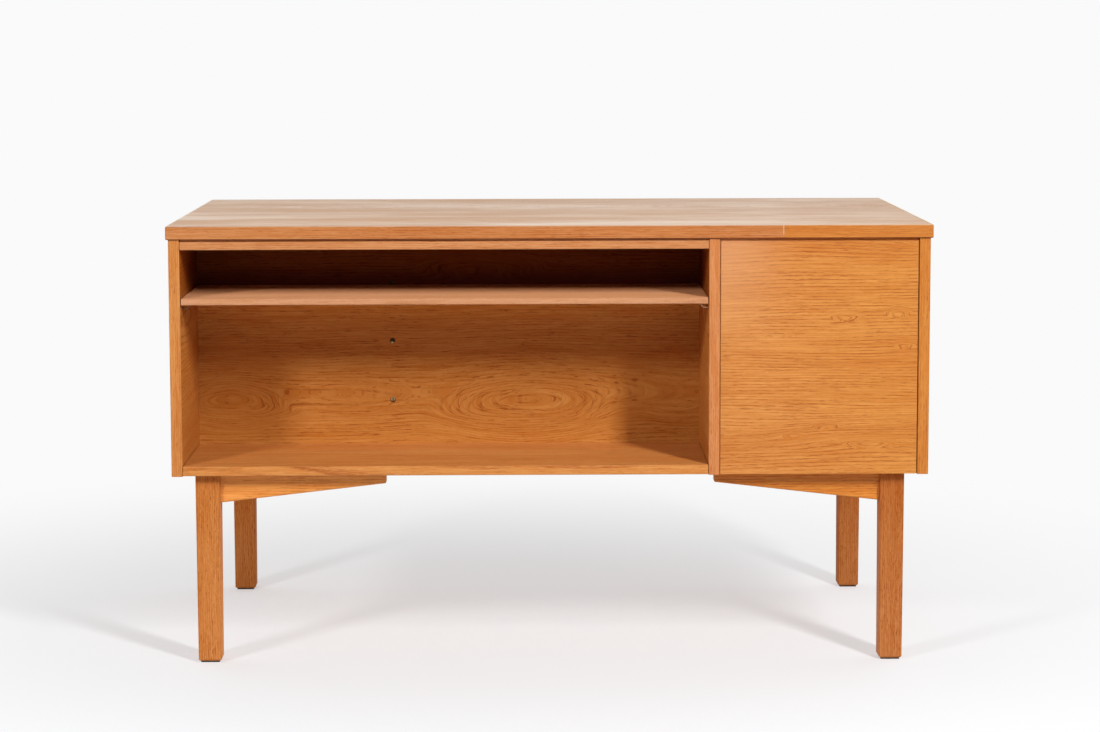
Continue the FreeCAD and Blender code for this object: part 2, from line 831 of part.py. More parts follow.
def runner_screws(fit=0):
    screws = []
    for wall, inward, y_low, y_high, z in runner_places():
        for share in runner_screw_shares:
            start = FreeCAD.Vector(wall + inward * runner_thickness, at_share(y_low, y_high, share), z)
            screws.append(screw(
                runner_screw_head, runner_screw_shank, runner_screw_length, start, x_axis * -inward,
                hidden_sides, fit))
    return screws


def save_fittings():
    save("drawer_runners", [runner(*place) for place in runner_places()])
    save("runner_screws", runner_screws())
    save("case_dowels", desktop_dowels(0) + board_dowels(0))
    save("back_panel_screws", back_screws())


os.makedirs("parts", exist_ok=True)
save_desktop()
save_uprights()
save_upright_lippings()
save_boards()
save_shelf()
save_shelf_supports()
save_underframe()
for drawer in drawers:
    save_drawer(*drawer)
save_fittings()
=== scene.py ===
import json
import math
import zlib

import bmesh
import bpy
from mathutils import Matrix, Vector

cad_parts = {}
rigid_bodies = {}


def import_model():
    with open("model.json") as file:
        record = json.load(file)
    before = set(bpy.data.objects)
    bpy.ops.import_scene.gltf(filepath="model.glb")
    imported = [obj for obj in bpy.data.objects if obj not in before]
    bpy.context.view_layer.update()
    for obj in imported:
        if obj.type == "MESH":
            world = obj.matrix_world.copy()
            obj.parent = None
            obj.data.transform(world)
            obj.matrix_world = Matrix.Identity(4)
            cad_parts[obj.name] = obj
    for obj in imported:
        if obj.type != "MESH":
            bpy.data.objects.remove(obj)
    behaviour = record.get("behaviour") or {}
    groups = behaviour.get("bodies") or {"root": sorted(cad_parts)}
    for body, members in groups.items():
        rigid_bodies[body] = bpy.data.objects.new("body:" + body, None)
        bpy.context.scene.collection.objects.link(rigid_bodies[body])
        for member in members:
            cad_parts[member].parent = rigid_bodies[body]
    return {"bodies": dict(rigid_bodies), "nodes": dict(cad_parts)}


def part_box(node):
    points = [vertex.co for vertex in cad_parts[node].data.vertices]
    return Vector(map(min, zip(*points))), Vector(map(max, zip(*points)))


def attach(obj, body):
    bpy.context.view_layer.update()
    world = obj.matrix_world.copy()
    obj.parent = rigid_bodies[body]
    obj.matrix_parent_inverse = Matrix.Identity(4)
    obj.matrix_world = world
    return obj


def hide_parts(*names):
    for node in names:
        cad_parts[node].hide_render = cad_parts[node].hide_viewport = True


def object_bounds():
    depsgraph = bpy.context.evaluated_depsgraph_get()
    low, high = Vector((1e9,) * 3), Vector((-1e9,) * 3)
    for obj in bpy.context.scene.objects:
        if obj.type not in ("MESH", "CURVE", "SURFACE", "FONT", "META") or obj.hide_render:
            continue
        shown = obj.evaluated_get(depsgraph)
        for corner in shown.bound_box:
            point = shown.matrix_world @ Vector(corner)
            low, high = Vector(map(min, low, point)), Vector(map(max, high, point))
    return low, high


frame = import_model()
cad_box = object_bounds()

# An oiled oak writing desk. Metres, in the frame's own axes: the visitor's side faces -Y.

# Camera: the photograph's frame and the fitted view of it, with its angles in radians
photo_width_px = 1100
focal_length_px = 2635.5
axis_above_middle_px = 80
sensor_width_mm = 36
camera_place = (-0.04866, -4.61332, 1.05871)
camera_yaw = -0.01131
camera_tilt = 0.09951
camera_roll = 0.00207

# Two soft boxes stand in front: azimuth from straight in front and elevation in degrees, width, height, power
key_distance = 4.5
keys = {"left_key": (-39, 25.0, 0.60, 0.60, 60), "right_key": (31.5, 32.0, 0.42, 1.50, 124)}

# The room's light from behind and from above: each grows over a range of the direction's Y or Z
backdrop_light = 0.85
backdrop_range = (-0.1, 0.4)
overhead_light = 0.15
overhead_range = (0.3, 0.9)
background_white = 0.955

# Floor: near the desk it is paper that shows shadows, and with distance it fades to the background's white.
# To the camera the paper has a share of plain white in it, floor_lift, at the level floor_level.
floor_radius = 9
floor_sides = 96
floor_fade_middle = (-0.13, -0.15, 0.0)
floor_fade_range = (0.5, 1.9)
floor_lift = 0.41
floor_level = 1.06
floor_seen_white = (0.937, 0.966, 1.0)
# To the desk the floor is this white near by, and black far off
floor_white = 0.80
floor_light_range = (1.7, 3.2)

# Mean colour of each kind of piece
wood_colours = {
    "desktop": (0.562, 0.327, 0.165),
    "lipping": (0.640, 0.240, 0.063),
    "lipping_end": (0.655, 0.224, 0.030),
    "rail": (0.662, 0.258, 0.076),
    "panel": (0.697, 0.258, 0.047),
    "panel_right": (0.690, 0.252, 0.037),
    "upright": (0.700, 0.264, 0.054),
    "upright_middle": (0.700, 0.262, 0.074),
    "upright_right": (0.655, 0.222, 0.028),
    "shelf": (0.670, 0.300, 0.116),
    "back_wall": (0.652, 0.248, 0.041),
    "side": (0.530, 0.185, 0.032),
    "board": (0.630, 0.242, 0.055),
    "leg_front_left": (0.628, 0.209, 0.040),
    "leg_front_right": (0.534, 0.169, 0.036),
    "leg_rear_left": (0.607, 0.203, 0.040),
    "leg_rear_right": (0.532, 0.168, 0.033),
    "bracket_left": (0.918, 0.374, 0.072),
    "bracket_right": (0.735, 0.248, 0.028),
    "drawer_front": (0.710, 0.262, 0.040),
    "drawer_oak": (0.640, 0.370, 0.165),
    "plywood": (0.660, 0.440, 0.220),
    "beech": (0.680, 0.410, 0.220),
}
# The lightest wood, the deeper wood and the pores, as shares of the mean colour
light_share = (1.15, 1.40, 1.95)
deep_share = (0.87, 0.69, 0.42)
dark_share = (0.58, 0.33, 0.16)
# Wood rubbed pale on flat faces, and bare wood on worn edges
worn_white = (0.86, 0.74, 0.62, 1)
bare_edge = (0.86, 0.48, 0.20, 1)

up = (0, 0, 1)
to_visitor = (0, -1, 0)
to_left = (-1, 0, 0)
to_right = (1, 0, 0)
pure_white = (1, 1, 1, 1)


# Node trees

class Tree:
    """Short calls that add nodes to one node tree and return their output sockets."""

    def __init__(self, tree):
        self.tree = tree

    def add(self, kind, values=None, **settings):
        node = self.tree.nodes.new(kind)
        for name, value in settings.items():
            setattr(node, name, value)
        for key, value in (values or {}).items():
            self.feed(node.inputs[key], value)
        return node

    def feed(self, socket, value):
        if isinstance(value, bpy.types.NodeSocket):
            self.tree.links.new(value, socket)
        else:
            socket.default_value = value

    def math(self, operation, first, second=0.0, third=0.0):
        values = {0: first, 1: second, 2: third}
        return self.add("ShaderNodeMath", values, operation=operation).outputs[0]

    def times(self, first, second):
        return self.math("MULTIPLY", first, second)

    def vector(self, operation, first, second):
        node = self.add("ShaderNodeVectorMath", {0: first}, operation=operation)
        self.feed(node.inputs["Scale" if operation == "SCALE" else 1], second)
        return node.outputs["Value" if operation in ("LENGTH", "DOT_PRODUCT") else "Vector"]

    def distance(self, first, second):
        return self.vector("LENGTH", self.vector("SUBTRACT", first, second), (0, 0, 0))

    def split(self, vector):
        return self.add("ShaderNodeSeparateXYZ", {0: vector}).outputs

    def joined(self, x, y, z):
        return self.add("ShaderNodeCombineXYZ", {0: x, 1: y, 2: z}).outputs[0]

    def noise(self, vector, stretch, detail=2.0, roughness=0.5):
        scaled = self.vector("MULTIPLY", vector, stretch)
        values = {"Vector": scaled, "Scale": 1.0, "Detail": detail, "Roughness": roughness}
        return self.add("ShaderNodeTexNoise", values).outputs["Fac"]

    def span(self, value, low, high, start=0.0, end=1.0):
        """From start at low to end at high, smoothly."""
        values = {"Value": value, "From Min": low, "From Max": high, "To Min": start, "To Max": end}
        return self.add("ShaderNodeMapRange", values, interpolation_type="SMOOTHSTEP").outputs[0]

    def fade(self, value, low, high):
        """From 1 at low to 0 at high, smoothly."""
        return self.span(value, low, high, 1.0, 0.0)

    def mix(self, share, first, second, blend="MIX"):
        node = self.add("ShaderNodeMix", data_type="RGBA", blend_type=blend)
        self.feed(node.inputs[0], share)
        self.feed(node.inputs[6], first)
        self.feed(node.inputs[7], second)
        return node.outputs[2]

    def mix_value(self, share, first, second):
        node = self.add("ShaderNodeMix", data_type="FLOAT")
        self.feed(node.inputs[0], share)
        self.feed(node.inputs[2], first)
        self.feed(node.inputs[3], second)
        return node.outputs[0]

    def tinted(self, share, colour, tint):
        """The colour, and by a share of the way the colour times a tint."""
        return self.mix(share, colour, self.mix(1.0, colour, tint, "MULTIPLY"))

    def here(self):
        """The shaded point's place, in the frame's own metres."""
        return self.add("ShaderNodeTexCoord").outputs["Object"]


def rgba(colour):
    return (*colour, 1)


def evenly(value):
    return (value, value, value)


def shade_of(kind, share):
    return rgba(value * part for value, part in zip(wood_colours[kind], share))


# Wood grain as one node group. The vector runs along the grain in X, across the face in Y and into the
# board in Z, from the middle of the piece. A stretch is a noise's number of cells in a metre.

seed_steps = (7.3, 3.9, 5.1)
long_warp = (1.3, 7.0, 7.0)
long_warp_reach = 0.046
fine_warp = (9.0, 60.0, 60.0)
fine_warp_reach = 0.0030
wander_stretch = (2.4, 0.0, 0.0)
wander_reach = 0.06
# A ring's dark line sets in late in one ring and fades early in the next
ring_line_start = 0.90
ring_line_end = 0.36
ring_skew = -0.25
dash_stretch = (64.0, 700.0, 700.0)
dash_range = (0.38, 0.60)
dash_least = 0.25
cluster_stretch = (7.0, 38.0, 38.0)
cluster_range = (0.30, 0.66)
cluster_least = 0.30
tone_stretch = (1.1, 14.0, 14.0)
stripe_stretch = (6.0, 220.0, 220.0)
tone_range = (0.32, 0.68)
streak_stretch = (26.0, 620.0, 620.0)
streak_range = (0.34, 0.66)
# Flecks and pores crowd together in clusters and on the rings' lines
cluster_crowding = 0.05
ring_crowding = 0.10
fleck_stretch = (44.0, 640.0, 640.0)
fleck_range = (0.62, 0.74)
pore_stretch = (130.0, 2400.0, 2400.0)
pore_range = (0.64, 0.72)
fibre_stretch = (60.0, 1500.0, 1500.0)

grain_inputs = {
    "Vector": "NodeSocketVector", "Seed": "NodeSocketFloat", "Pith": "NodeSocketVector",
    "Ring Width": "NodeSocketFloat", "Figure": "NodeSocketFloat", "Warp": "NodeSocketFloat"}
grain_looks = ("Tone", "Ring", "Stripe", "Streak", "Fleck", "Pore", "Fibre")


def grain_group():
    group = bpy.data.node_groups.new("oak_grain", "ShaderNodeTree")
    for name, kind in grain_inputs.items():
        group.interface.new_socket(name, in_out="INPUT", socket_type=kind)
    for name in grain_looks:
        group.interface.new_socket(name, in_out="OUTPUT", socket_type="NodeSocketFloat")
    t = Tree(group)
    given = t.add("NodeGroupInput").outputs
    seeded = t.vector("SCALE", seed_steps, given["Seed"])
    place = t.vector("ADD", given["Vector"], seeded)

    # The distance from the log's heart, bent by slow and fine noise, gives the growth rings
    slow = t.math("MULTIPLY_ADD", t.noise(place, long_warp), long_warp_reach, -long_warp_reach / 2)
    slow = t.times(slow, given["Warp"])
    fine = t.noise(place, fine_warp, detail=3.0)
    fine = t.math("MULTIPLY_ADD", fine, fine_warp_reach, -fine_warp_reach / 2)
    heart = t.split(t.vector("SUBTRACT", given["Vector"], given["Pith"]))
    across = t.math("ADD", t.math("ADD", heart["Y"], slow), fine)
    wander = t.noise(place, wander_stretch, detail=1.0)
    wander = t.math("MULTIPLY_ADD", wander, wander_reach, -wander_reach / 2)
    into = t.math("ADD", heart["Z"], t.times(wander, given["Warp"]))
    reach = t.math("SQRT", t.math("ADD", t.math("POWER", across, 2.0), t.math("POWER", into, 2.0)))
    rings = t.math("ADD", t.math("DIVIDE", reach, given["Ring Width"]), given["Figure"])
    phase = t.math("FRACT", rings)
    line = t.math("MAXIMUM", t.fade(phase, 0.0, ring_line_end), t.span(phase, ring_line_start, 1.0))

    # Streaks, flecks and pores lie along the rings, so their place is measured in rings too. A share of the
    # way across keeps them narrow where a ring lies flat in the face.
    ring_place = t.times(rings, given["Ring Width"])
    ring_place = t.math("MULTIPLY_ADD", heart["Y"], ring_skew, ring_place)
    parts = t.split(place)
    place = t.joined(parts["X"], ring_place, parts["Z"])
    dash = t.span(t.noise(place, dash_stretch, detail=1.0), *dash_range, start=dash_least)
    cluster = t.span(t.noise(place, cluster_stretch), *cluster_range, start=cluster_least)
    ring = t.times(t.times(line, dash), cluster)

    tone = t.span(t.noise(place, tone_stretch, detail=3.0), *tone_range)
    stripe = t.span(t.noise(place, stripe_stretch), *tone_range)
    streak = t.span(t.noise(place, streak_stretch), *streak_range)
    crowd = t.math("MULTIPLY_ADD", cluster, cluster_crowding, t.times(ring, ring_crowding))
    fleck = t.span(t.math("ADD", t.noise(place, fleck_stretch, roughness=0.6), crowd), *fleck_range)
    pore = t.span(t.math("ADD", t.noise(place, pore_stretch, detail=1.0), crowd), *pore_range)
    fibre = t.noise(place, fibre_stretch, roughness=0.7)
    made = t.add("NodeGroupOutput").inputs
    for name, value in zip(grain_looks, (tone, ring, stripe, streak, fleck, pore, fibre)):
        t.feed(made[name], value)
    return group


grain = grain_group()


def seed_of(name):
    return (zlib.crc32(name.encode()) % 1000) / 100


# A figure is an eye in the grain: extra rings, heaped over a lens with two pointed ends.
# It has the place of its middle, its half size and its number of rings, which may be below zero.
figure_softness = 0.006


def figure_heap(t, coordinates, figures):
    heap = 0.0
    for place, half_size, rings in figures:
        split = t.split(t.vector("DIVIDE", t.vector("SUBTRACT", coordinates, place), half_size))
        across = t.math("SQRT", t.math("MULTIPLY_ADD", split["Z"], split["Z"], figure_softness))
        distance = t.math("MULTIPLY_ADD", split["X"], split["X"], across)
        heap = t.math("MULTIPLY_ADD", t.fade(distance, 0.0, 1.0), rings, heap)
    return heap


def new_material(name):
    material = bpy.data.materials.new(name)
    material.use_nodes = True
    material.node_tree.nodes.clear()
    return material, Tree(material.node_tree)


def finish_material(t, colour, roughness, bump, fixed):
    normal = t.add("ShaderNodeBump", bump).outputs[0]
    values = {"Base Color": colour, "Roughness": roughness, "Normal": normal, **fixed}
    shader = t.add("ShaderNodeBsdfPrincipled", values)
    t.add("ShaderNodeOutputMaterial", {"Surface": shader.outputs[0]})


# How much of a rounded edge shows at a point: none on a flat, and up to 1 where the face turns
edge_turn_range = (0.01, 0.16)


def edge_share(t, radius):
    soft = t.add("ShaderNodeBevel", {"Radius": radius}, samples=4).outputs[0]
    sharp = t.add("ShaderNodeNewGeometry").outputs["True Normal"]
    turned = t.math("SUBTRACT", 1.0, t.vector("DOT_PRODUCT", soft, sharp))
    return soft, t.span(turned, *edge_turn_range)


# How much each look of the grain darkens the wood, roughens it and raises or sinks its face
stripe_tone = 0.30
broad_tone = 0.34
streak_tone = 0.36
pore_tone = 0.35
broad_roughness = 0.08
pore_roughness = 0.15
fibre_height = 0.30
pore_depth = 0.6
fleck_depth = 0.35
grain_bump_strength = 0.12
grain_bump_distance = 0.00025
oiled_ior = 1.47
# The wear of the edges comes in patches
worn_edge_radius = 0.0011
wear_patch_stretch = evenly(45.0)
wear_patch_range = (0.35, 0.7)
least_edge_wear = 0.15


# Oak for one piece. order names the frame axes along the grain, across the face and into the board.
# A closeness over 1 makes every mark that much shorter.
def oak(name, middle, order, kind, pith=(0.0, 0.35, -0.05), ring_width=0.0042, figures=(), warp=1.0,
        closeness=1.0, ring_share=0.8, fleck_share=0.6, tone_share=1.0, roughness=0.42, matt=0.35,
        edge_wear=0.35, shine=0.35, extra=None):
    material, t = new_material(name)
    here = t.here()
    split = t.split(t.vector("SUBTRACT", here, tuple(middle)))
    turned = t.joined(t.times(split[order[0]], closeness), split[order[1]], split[order[2]])
    values = {
        "Vector": turned, "Seed": seed_of(name), "Pith": pith, "Ring Width": ring_width,
        "Figure": figure_heap(t, here, figures), "Warp": warp}
    wood = t.add("ShaderNodeGroup", node_tree=grain)
    for key, value in values.items():
        t.feed(wood.inputs[key], value)
    look = wood.outputs
    light, deep, dark = (shade_of(kind, share) for share in (light_share, deep_share, dark_share))
    tone = t.math("MULTIPLY_ADD", look["Stripe"], stripe_tone, t.times(look["Tone"], broad_tone))
    tone = t.times(t.math("MULTIPLY_ADD", look["Streak"], streak_tone, tone), tone_share)
    colour = t.mix(tone, light, deep)
    for mark, share in (("Ring", ring_share), ("Fleck", fleck_share), ("Pore", pore_tone)):
        colour = t.mix(t.times(look[mark], share), colour, dark)
    soft, edge = edge_share(t, worn_edge_radius)
    patches = t.span(t.noise(here, wear_patch_stretch), *wear_patch_range, least_edge_wear, edge_wear)
    colour = t.mix(t.times(edge, patches), colour, bare_edge)
    rough = t.math("MULTIPLY_ADD", look["Tone"], broad_roughness, roughness)
    rough = t.math("ADD", rough, t.times(look["Pore"], pore_roughness))
    if extra:
        colour, rough = extra(t, here, colour, rough)
    height = t.times(look["Fibre"], fibre_height)
    height = t.math("SUBTRACT", height, t.times(look["Pore"], pore_depth))
    height = t.math("SUBTRACT", height, t.times(look["Fleck"], fleck_depth))
    bump = {
        "Strength": grain_bump_strength, "Distance": grain_bump_distance, "Height": height, "Normal": soft}
    fixed = {"IOR": oiled_ior, "Diffuse Roughness": matt, "Specular IOR Level": shine}
    finish_material(t, colour, rough, bump, fixed)
    return material


# What oak has beside its grain: two helpers, and then functions that change its colour and roughness, with
# wear, tone and painted light and shade

# 1 on the faces that are turned to a direction, and 0 on all others
turned_range = (0.5, 0.9)


def turned_to(t, direction):
    facing = t.add("ShaderNodeNewGeometry").outputs["True Normal"]
    return t.span(t.vector("DOT_PRODUCT", facing, direction), *turned_range)


# A share of the way from one kind of wood's colour to another's
def shifted(t, share, colour, kind, other):
    tint = (end / start for end, start in zip(wood_colours[other], wood_colours[kind]))
    return t.tinted(share, colour, rgba(tint))


# The desktop is rubbed pale along its grain, most of all near its front edge and left end
front_wear_width = 0.12
front_wear = 0.12
left_wear_width = 0.40
left_wear = 0.05
wear_cloud_stretch = (2.4, 11.0, 1.0)
wear_fine_stretch = (16.0, 170.0, 1.0)
fine_wear = 0.50
rubbed_range = (0.64, 1.10)
rubbed_paleness = 0.66
rubbed_roughness = 0.12


def worn_top(t, here, colour, rough):
    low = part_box("desktop_panel")[0]
    split = t.split(here)
    near_front = t.fade(split["Y"], low.y, low.y + front_wear_width)
    near_left = t.fade(split["X"], low.x, low.x + left_wear_width)
    place = t.math("ADD", t.times(near_front, front_wear), t.times(near_left, left_wear))
    broad = t.math("ADD", t.noise(here, wear_cloud_stretch, detail=4.0, roughness=0.62), place)
    fine = t.noise(here, wear_fine_stretch, detail=3.0, roughness=0.6)
    rubbed = t.span(t.math("MULTIPLY_ADD", fine, fine_wear, broad), *rubbed_range)
    colour = t.mix(t.times(rubbed, rubbed_paleness), colour, worn_white)
    return colour, t.math("MULTIPLY_ADD", rubbed, rubbed_roughness, rough)


# A lipping's upper face is as worn and as pale as the desktop
def desktop_upward(t, here, colour, rough):
    pale = worn_top(t, here, shifted(t, 1.0, colour, "lipping", "desktop"), rough)[0]
    return t.mix(turned_to(t, up), colour, pale), rough


# Painted shade darkens the lippings' lower edge, the strip that faces down
lower_edge_height = 0.0013
lower_edge_softness = 0.3
lower_edge_shade_share = (0.42, 0.30, 0.20, 1)


def shaded_below(t, here, colour, rough):
    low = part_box("desktop_lipping_front")[0]
    start = low.z + lower_edge_height * (1 - lower_edge_softness)
    end = low.z + lower_edge_height * (1 + lower_edge_softness)
    # Painted shade on the lowest strip of the lipping
    colour = t.tinted(t.fade(t.split(here)["Z"], start, end), colour, lower_edge_shade_share)
    return desktop_upward(t, here, colour, rough)


# The front lipping is two lengths of oak, butted with a pale glue line that shows in its upper part
joint_x = 0.3815
joint_half_width = 0.0005
joint_low_z = 0.7145
joint_fade = 0.002
joint_paleness = 0.4


def jointed(t, here, colour, rough):
    split = t.split(here)
    colour = shifted(t, t.math("GREATER_THAN", split["X"], joint_x), colour, "lipping", "lipping_end")
    colour, rough = shaded_below(t, here, colour, rough)
    away = t.math("ABSOLUTE", t.math("SUBTRACT", split["X"], joint_x))
    line = t.fade(away, joint_half_width, joint_half_width * 2)
    line = t.times(line, t.span(split["Z"], joint_low_z - joint_fade, joint_low_z + joint_fade))
    return t.mix(t.times(line, joint_paleness), colour, worn_white), rough


# The closed panel has a painted sheen, paler and pinker towards its upper left corner, standing for a
# reflection of the left lamp; its wood is more orange to the right
sheen_pink = (0.800, 0.400, 0.190, 1)
sheen_width = 0.14
sheen_height = 0.22
sheen_strength = 0.55
sheen_roughness = 0.2


def painted_sheen(t, here, colour, rough):
    low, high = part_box("pedestal_end_panel")
    split = t.split(here)
    colour = shifted(t, t.span(split["X"], low.x, high.x), colour, "panel", "panel_right")
    # Painted reflection of the left lamp towards the upper left corner
    left = t.fade(split["X"], low.x, low.x + sheen_width)
    upper = t.span(split["Z"], high.z - sheen_height, high.z)
    share = t.times(t.times(left, upper), sheen_strength)
    return t.mix(share, colour, sheen_pink), t.math("ADD", rough, t.times(share, sheen_roughness))


# Around each screw of the back panel a dark rim is painted on the wall as the shade of a countersink, though
# the heads lie flush. The rims' middles are a little above or below the screws', from the lowest screw up.
sink_rim = 0.0009
sink_rim_softness = 0.5
sink_drops = (-0.0008, 0.0012, 0.0)
countersink_shade_share = (0.22, 0.14, 0.10, 1)


def painted_countersink_shade(t, here, colour, rough):
    for points, drop in zip(solids_of("back_panel_screws"), sink_drops):
        top, _, radius, _ = screw_frame(points)
        away = t.distance(here, tuple(top + Vector((0, 0, drop))))
        start = radius + sink_rim * (1 - sink_rim_softness)
        end = radius + sink_rim * (1 + sink_rim_softness)
        # Painted shade of a countersink around this head
        colour = t.tinted(t.fade(away, start, end), colour, countersink_shade_share)
    return colour, rough


# Painted light and shade on the back panel's front face: painted shade darkens it above the shelf, darkest in
# a strip just above the shelf, and painted light makes it paler just under the shelf, standing for light
# bounced up from the floor
shaded_share = (0.50, 0.33, 0.25, 1)
corner_shade_share = (0.38, 0.20, 0.50, 1)
corner_shade_height = 0.045
paler_share = (1.35, 1.40, 1.30, 1)
paler_band_height = 0.075


def shaded_above(t, here, colour, rough):
    low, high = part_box("bookcase_shelf")
    height = t.split(here)["Z"]
    front = turned_to(t, to_visitor)
    # Painted light just under the shelf, then painted shade above it, darkest in the strip just above it
    paler = t.times(front, t.span(height, low.z - paler_band_height, low.z))
    colour = t.tinted(paler, colour, paler_share)
    above = t.times(front, t.span(height, low.z, high.z))
    colour = t.tinted(above, colour, shaded_share)
    corner_shade = t.times(above, t.fade(height, high.z, high.z + corner_shade_height))
    colour = t.tinted(corner_shade, colour, corner_shade_share)
    return painted_countersink_shade(t, here, colour, rough)


# Painted shade: the inner faces of the walls at both sides of the bookcase are darker above the shelf, and
# most of all far in
side_shaded_share = (0.70, 0.48, 0.25, 1)


def side_shaded(t, here, colour, rough):
    low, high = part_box("bookcase_shelf")
    split = t.split(here)
    middle = (low.x + high.x) / 2
    right_wall = t.math("GREATER_THAN", split["X"], middle)
    inner = t.mix_value(right_wall, turned_to(t, to_right), turned_to(t, to_left))
    before_back = t.math("LESS_THAN", split["Y"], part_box("bookcase_back_panel")[0].y)
    above = t.times(t.times(inner, before_back), t.span(split["Z"], low.z, high.z))
    # Painted shade above the shelf, deeper far in
    colour = t.tinted(above, colour, side_shaded_share)
    inward = t.times(above, t.span(split["Y"], low.y, high.y))
    return t.tinted(inward, colour, shaded_share), rough


# The boards' front edges are paler than their faces
pale_front_share = (1.16, 1.18, 1.10, 1)


def pale_front(t, here, colour, rough):
    return t.tinted(turned_to(t, to_visitor), colour, pale_front_share), rough


# Painted shadow of the top rail darkens the strip of the shelf's upper face that lies farthest in
rear_strip = 0.040
rear_strip_share = (0.50, 0.36, 0.28, 1)


def dark_at_rear(t, here, colour, rough):
    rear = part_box("bookcase_shelf")[1].y
    far_in = t.span(t.split(here)["Y"], rear - rear_strip * 2, rear - rear_strip)
    # Painted shadow on the rear strip of the upper face
    return t.tinted(t.times(far_in, turned_to(t, up)), colour, rear_strip_share), rough


# The three front uprights are of three boards, the middle one pinker and the right one more orange
def three_boards(t, here, colour, rough):
    x = t.split(here)["X"]
    colour = shifted(t, t.math("GREATER_THAN", x, 0.0), colour, "upright", "upright_middle")
    past_panel = t.math("GREATER_THAN", x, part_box("pedestal_end_panel")[1].x)
    return shifted(t, past_panel, colour, "upright_middle", "upright_right"), rough


# The legs are paler towards their feet
pale_foot_share = (1.12, 1.22, 1.45, 1)
pale_foot_range = (0.03, 0.30)


def pale_foot(t, here, colour, rough):
    return t.tinted(t.fade(t.split(here)["Z"], *pale_foot_range), colour, pale_foot_share), rough


# Where each piece's oak comes from: its grain's direction, colours and figures

back_figures = [
    ((-0.0450, -0.09, 0.3840), (0.190, 0.5, 0.080), -6.0),
    ((0.0500, -0.09, 0.3760), (0.050, 0.5, 0.014), -1.4),
    ((-0.5500, -0.09, 0.4000), (0.110, 0.5, 0.060), -5.0),
    ((-0.4800, -0.09, 0.3880), (0.060, 0.5, 0.022), -1.8),
    ((0.2300, -0.09, 0.3800), (0.080, 0.5, 0.030), -1.8),
    ((-0.1160, -0.09, 0.6450), (0.140, 0.5, 0.040), -4.0),
]
end_panel_figures = [
    ((0.5600, -0.326, 0.3850), (0.240, 0.5, 0.050), 2.6),
    ((0.4864, -0.326, 0.5791), (0.034, 0.5, 0.011), 2.2),
    ((0.5703, -0.326, 0.5866), (0.028, 0.5, 0.014), 2.0),
    ((0.5824, -0.326, 0.5319), (0.024, 0.5, 0.009), 1.7),
    ((0.4543, -0.326, 0.3994), (0.032, 0.5, 0.009), 2.0),
    ((0.3976, -0.326, 0.3829), (0.024, 0.5, 0.008), 1.8),
    ((0.5233, -0.326, 0.3691), (0.052, 0.5, 0.011), 2.4),
]


def paint(node, material):
    mesh = frame["nodes"][node].data
    mesh.materials.clear()
    mesh.materials.append(material)


def paint_oak(node, order, kind, **choices):
    low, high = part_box(node)
    paint(node, oak("oak_" + node, (low + high) / 2, order, kind, **choices))


def paint_desktop():
    paint_oak("desktop_panel", "XYZ", "desktop", pith=(0.0, 0.10, -0.09), ring_width=0.006, roughness=0.44,
              ring_share=0.4, fleck_share=0.35, shine=0.42, extra=worn_top)
    solid = {
        "pith": (0.0, 0.06, -0.05), "ring_width": 0.0030, "edge_wear": 0.2, "warp": 0.22, "ring_share": 0.6}
    paint_oak("desktop_lipping_front", "XZY", "lipping", extra=jointed, **solid)
    paint_oak("desktop_lipping_back", "XZY", "lipping", extra=shaded_below, **solid)
    paint_oak("desktop_lipping_left", "YZX", "lipping", extra=shaded_below, **solid)
    paint_oak("desktop_lipping_right", "YZX", "lipping_end", extra=shaded_below, **solid)


def paint_case():
    upright_board = {"pith": (0.0, 0.06, -0.08), "ring_width": 0.005, "shine": 0.25}
    for node in ("side_panel_left", "divider_panel"):
        paint_oak(node, "YZX", "side", extra=side_shaded, **upright_board)
    for node in ("side_panel_right", "left_pedestal_side"):
        paint_oak(node, "YZX", "side", **upright_board)
    for node in ("bookcase_bottom", "left_pedestal_bottom", "right_pedestal_bottom"):
        paint_oak(node, "XYZ", "board", pith=(0.0, 0.20, -0.09), ring_width=0.005, extra=pale_front)
    for node in ("bookcase_top_rail", "pedestal_rails"):
        paint_oak(node, "XZY", "rail", pith=(0.0, 0.06, -0.05), ring_width=0.0032, warp=0.25)
    paint_oak("bookcase_shelf", "XYZ", "shelf", pith=(0.0, 0.20, -0.09), ring_width=0.005, ring_share=0.25,
              fleck_share=0.3, tone_share=0.7, matt=0.7, extra=dark_at_rear)
    paint_oak("bookcase_back_panel", "XZY", "back_wall", pith=(0.0, -0.102, -0.035), ring_width=0.0050,
              warp=0.8, figures=back_figures, ring_share=0.62, fleck_share=0.75, roughness=0.55, shine=0.2,
              extra=shaded_above)
    paint_oak("pedestal_end_panel", "XZY", "panel", pith=(0.0, 0.30, -0.07), ring_width=0.0052,
              figures=end_panel_figures, extra=painted_sheen)
    paint_oak("upright_edge_lippings", "ZXY", "upright", pith=(0.0, 0.9, -0.10), ring_width=0.0035, warp=0.3,
              closeness=1.6, edge_wear=0.3, ring_share=0.5, extra=three_boards)


def paint_underframe():
    leg = {
        "pith": (0.0, 0.07, -0.04), "ring_width": 0.0036, "warp": 0.4, "closeness": 2.4, "edge_wear": 0.1,
        "ring_share": 0.55, "fleck_share": 0.8, "roughness": 0.55, "shine": 0.08}
    rail = {"pith": (0.0, 0.05, -0.05), "ring_width": 0.0034, "warp": 0.4}
    for x in ("left", "right"):
        for y in ("front", "rear"):
            paint_oak(f"leg_{y}_{x}", "ZXY", f"leg_{y}_{x}", extra=pale_foot, **leg)
            paint_oak(f"leg_bracket_{y}_{x}", "XZY", "bracket_" + x, **rail)
        paint_oak(f"underframe_rail_{x}", "YZX", "bracket_" + x, **rail)


